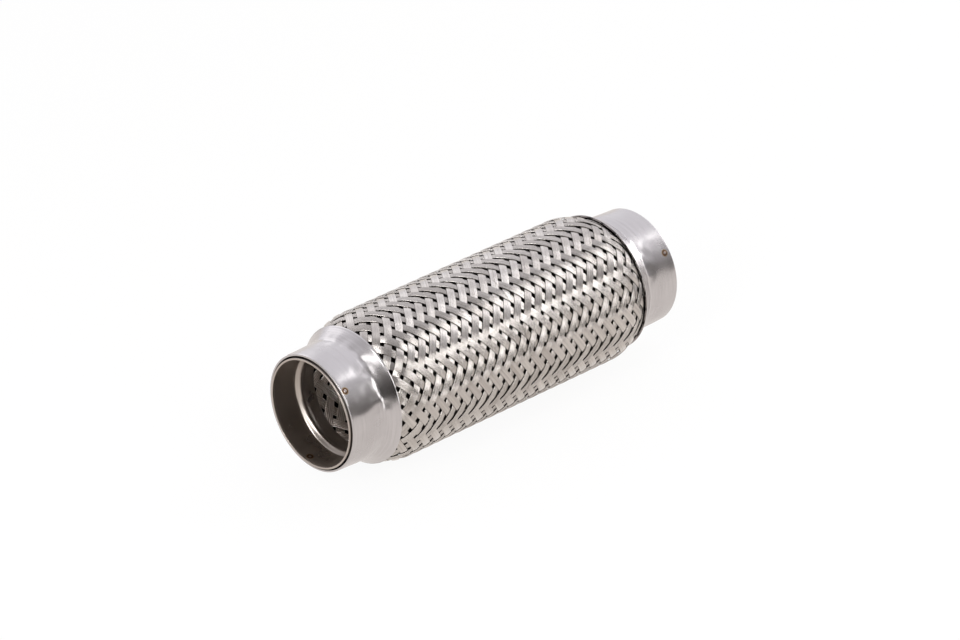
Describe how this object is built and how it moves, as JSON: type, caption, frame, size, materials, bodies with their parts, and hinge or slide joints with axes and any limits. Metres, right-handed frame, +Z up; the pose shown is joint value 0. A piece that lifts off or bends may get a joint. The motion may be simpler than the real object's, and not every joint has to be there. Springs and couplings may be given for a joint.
{
  "type": "exhaust flex pipe",
  "caption": "Flexible exhaust pipe with a woven metal sleeve over a corrugated bellows, a woven liner, and a formed cap and slip-in socket at each end.",
  "frame": {"origin": "under the middle of the pipe, on the surface that its braid lies on", "axes": "+X along the pipe from the near mouth to the far mouth, +Z up"},
  "size_m": [0.2, 0.07, 0.07],
  "materials": {
    "polished_cap": "bright rolled stainless steel",
    "sleeve_steel": "rolled stainless steel, dull inside",
    "bellows_steel": "thin formed stainless steel",
    "braid_wire": "woven bright stainless wire",
    "liner_wire": "woven stainless wire"
  },
  "bodies": {
    "flexible_middle": {"outer_braid": "braid_wire", "bellows": "bellows_steel", "inner_braid": "liner_wire"},
    "near_end": {"near_end_cap": "polished_cap", "near_end_sleeve": "sleeve_steel"},
    "far_end": {"far_end_cap": "polished_cap", "far_end_sleeve": "sleeve_steel"}
  },
  "joints": [
    {"name": "near_end_stretch", "type": "slide", "parent": "flexible_middle", "child": "near_end", "axis": [-1, 0, 0], "range_m": [-0.006, 0.004], "stiffness_N_per_m": 9000, "deforming": ["outer_braid", "bellows", "inner_braid"]},
    {"name": "far_end_bend", "type": "hinge", "parent": "flexible_middle", "child": "far_end", "pos_m": [0.0375, 0, 0.03503], "axis": [0, 0, 1], "range_deg": [-10, 10], "stiffness_Nm_per_rad": 40, "deforming": ["outer_braid", "bellows", "inner_braid"]}
  ]
}
